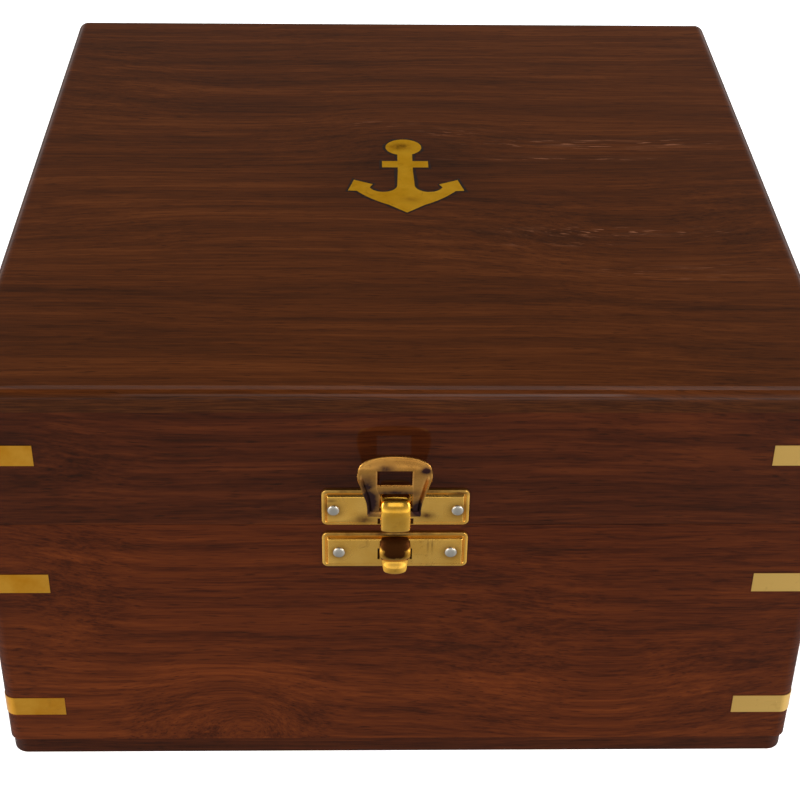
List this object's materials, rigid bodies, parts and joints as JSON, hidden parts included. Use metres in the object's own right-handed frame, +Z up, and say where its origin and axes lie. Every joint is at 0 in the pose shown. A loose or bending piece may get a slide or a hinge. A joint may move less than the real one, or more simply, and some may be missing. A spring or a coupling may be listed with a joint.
{
  "type": "marine chronometer",
  "caption": "Gimballed marine chronometer in a hinged rosewood box with brass corner strips, an anchor inlay and a hasp latch.",
  "frame": {"origin": "middle of the box's underside", "axes": "+X to the right, +Y to the back where the hinges are, +Z up"},
  "size_m": [0.1802, 0.1946, 0.1036],
  "materials": {
    "rosewood": "deep red-brown rosewood under glossy varnish",
    "inlay_brass": "brass filed flush and lacquered",
    "hinge_brass": "polished brass",
    "screw_brass": "turned brass",
    "latch_brass": "polished pressed brass with tarnish",
    "nickel_pin": "dull nickel",
    "gimbal_brass": "lacquered brass with a brushed grain",
    "steel": "polished steel",
    "anchor_brass": "deep yellow brass under varnish",
    "glass": "clear polished glass",
    "dial_silver": "silvered, with a fine circular grain",
    "plate_brass": "spotted gilt brass",
    "gear_brass": "fine-cut brass",
    "blued_steel": "heat-blued steel"
  },
  "bodies": {
    "base": {"base_bottom_board": "rosewood", "base_front_board": "rosewood", "base_back_board": "rosewood", "base_left_board": "rosewood", "base_right_board": "rosewood", "base_corner_strips": "inlay_brass", "hinge_base_leaves": "hinge_brass", "hinge_base_screws": "screw_brass", "hinge_pins": "hinge_brass", "latch_lower_plate": "latch_brass", "latch_lower_pins": "nickel_pin", "gimbal_brackets": "gimbal_brass", "bracket_screws": "steel", "ring_pivots": "steel", "key_socket": "gimbal_brass"},
    "lid": {"lid_top_board": "rosewood", "lid_front_board": "rosewood", "lid_back_board": "rosewood", "lid_left_board": "rosewood", "lid_right_board": "rosewood", "lid_corner_strips": "inlay_brass", "anchor_inlay": "anchor_brass", "hinge_lid_leaves": "hinge_brass", "hinge_lid_screws": "screw_brass", "latch_upper_plate": "latch_brass", "latch_upper_pins": "nickel_pin"},
    "hasp": {"hasp": "latch_brass"},
    "gimbal_ring": {"gimbal_ring": "gimbal_brass", "bowl_pivots": "steel"},
    "gimbal_lock_lever": {"gimbal_lock_lever": "gimbal_brass"},
    "winding_key": {"winding_key": "gimbal_brass"},
    "bowl": {"bowl": "gimbal_brass", "bezel": "gimbal_brass", "dial_glass": "glass", "dial": "dial_silver", "pillar_plate": "plate_brass", "top_plate": "plate_brass", "pillars": "plate_brass", "balance_cock": "plate_brass", "barrel_arbor": "steel", "fusee_chain": "steel", "shutter_screw": "steel"},
    "winding_shutter": {"winding_shutter": "gimbal_brass"},
    "fusee": {"fusee": "gear_brass"},
    "barrel": {"barrel": "plate_brass", "mainspring": "blued_steel"},
    "up_down_hand": {"up_down_hand": "blued_steel"},
    "great_wheel": {"great_wheel": "gear_brass"},
    "centre_wheel": {"centre_wheel": "gear_brass", "minute_hand": "blued_steel"},
    "third_wheel": {"third_wheel": "gear_brass"},
    "fourth_wheel": {"fourth_wheel": "gear_brass", "seconds_hand": "blued_steel"},
    "escape_wheel": {"escape_wheel": "gear_brass"},
    "minute_wheel": {"minute_wheel": "gear_brass"},
    "hour_wheel": {"hour_wheel": "gear_brass", "hour_hand": "blued_steel"},
    "balance_wheel": {"balance_wheel": "gear_brass", "balance_spring": "blued_steel"},
    "detent": {"detent": "steel"}
  },
  "joints": [
    {"name": "lid_hinge", "type": "hinge", "parent": "base", "child": "lid", "pos_m": [0, 0.0942, 0.0692], "axis": [-1, 0, 0], "range_deg": [0, 95]},
    {"name": "hasp_swing", "type": "hinge", "parent": "lid", "child": "hasp", "pos_m": [-0.0018, -0.095, 0.075], "axis": [1, 0, 0], "range_deg": [-8, 167]},
    {"name": "ring_tilt", "type": "hinge", "parent": "base", "child": "gimbal_ring", "pos_m": [0, 0, 0.058], "axis": [1, 0, 0], "range_deg": [-25, 25]},
    {"name": "bowl_tilt", "type": "hinge", "parent": "gimbal_ring", "child": "bowl", "pos_m": [0, 0, 0.058], "axis": [0, 1, 0], "range_deg": [-25, 25]},
    {"name": "lock_lever_swing", "type": "hinge", "parent": "base", "child": "gimbal_lock_lever", "pos_m": [-0.07, -0.025, 0.062], "axis": [0, 0, 1], "range_deg": [0, 110]},
    {"name": "key_lift", "type": "slide", "parent": "base", "child": "winding_key", "axis": [0, 0, 1], "range_m": [0, 0.028]},
    {"name": "shutter_swing", "type": "hinge", "parent": "bowl", "child": "winding_shutter", "pos_m": [0, 0, 0.019], "axis": [0, 0, -1], "range_deg": [0, 50], "stiffness_Nm_per_rad": 0.00002},
    {"name": "fusee_wind", "type": "hinge", "parent": "bowl", "child": "fusee", "pos_m": [-0.02031, 0.0045, 0.045], "axis": [0, 0, -1], "range_deg": [0, 2700]},
    {"name": "barrel_turn", "type": "hinge", "parent": "bowl", "child": "barrel", "pos_m": [0.022, 0.013, 0.045], "axis": [0, 0, -1], "range_deg": [0, 1800]},
    {"name": "up_down_turn", "type": "hinge", "parent": "bowl", "child": "up_down_hand", "pos_m": [0, 0.022, 0.06], "axis": [0, 0, -1], "range_deg": [0, 270]},
    {"name": "seconds_turn", "type": "hinge", "parent": "bowl", "child": "fourth_wheel", "pos_m": [0, -0.022, 0.044], "axis": [0, 0, -1], "continuous": true},
    {"name": "third_turn", "type": "hinge", "parent": "bowl", "child": "third_wheel", "pos_m": [0.01095, -0.0141, 0.046], "axis": [0, 0, -1], "continuous": true},
    {"name": "centre_turn", "type": "hinge", "parent": "bowl", "child": "centre_wheel", "pos_m": [0, 0, 0.052], "axis": [0, 0, -1], "continuous": true},
    {"name": "great_turn", "type": "hinge", "parent": "bowl", "child": "great_wheel", "pos_m": [-0.02031, 0.0045, 0.04], "axis": [0, 0, -1], "continuous": true},
    {"name": "escape_turn", "type": "hinge", "parent": "bowl", "child": "escape_wheel", "pos_m": [-0.00677, -0.03098, 0.034], "axis": [0, 0, -1], "continuous": true},
    {"name": "minute_wheel_turn", "type": "hinge", "parent": "bowl", "child": "minute_wheel", "pos_m": [0.0084, 0, 0.059], "axis": [0, 0, -1], "continuous": true},
    {"name": "hour_turn", "type": "hinge", "parent": "bowl", "child": "hour_wheel", "pos_m": [0, 0, 0.06], "axis": [0, 0, -1], "continuous": true},
    {"name": "balance_swing", "type": "hinge", "parent": "bowl", "child": "balance_wheel", "pos_m": [-0.0039, -0.0233, 0.031], "axis": [0, 0, 1], "range_deg": [-250, 250], "stiffness_Nm_per_rad": 0.000006, "deforming": ["balance_spring"]},
    {"name": "detent_swing", "type": "hinge", "parent": "bowl", "child": "detent", "pos_m": [-0.02114, -0.01803, 0.034], "axis": [0, 0, 1], "range_deg": [0, 2.5], "stiffness_Nm_per_rad": 0.00002}
  ],
  "couplings": [
    {"joint": "barrel_turn", "follows": "fusee_wind", "ratio": 0.66667},
    {"joint": "up_down_turn", "follows": "fusee_wind", "ratio": 0.1},
    {"joint": "third_turn", "follows": "seconds_turn", "ratio": -0.125},
    {"joint": "centre_turn", "follows": "seconds_turn", "ratio": 0.016667},
    {"joint": "great_turn", "follows": "seconds_turn", "ratio": -0.0025926},
    {"joint": "escape_turn", "follows": "seconds_turn", "ratio": -8},
    {"joint": "minute_wheel_turn", "follows": "seconds_turn", "ratio": -0.0055556},
    {"joint": "hour_turn", "follows": "seconds_turn", "ratio": 0.0013889}
  ]
}
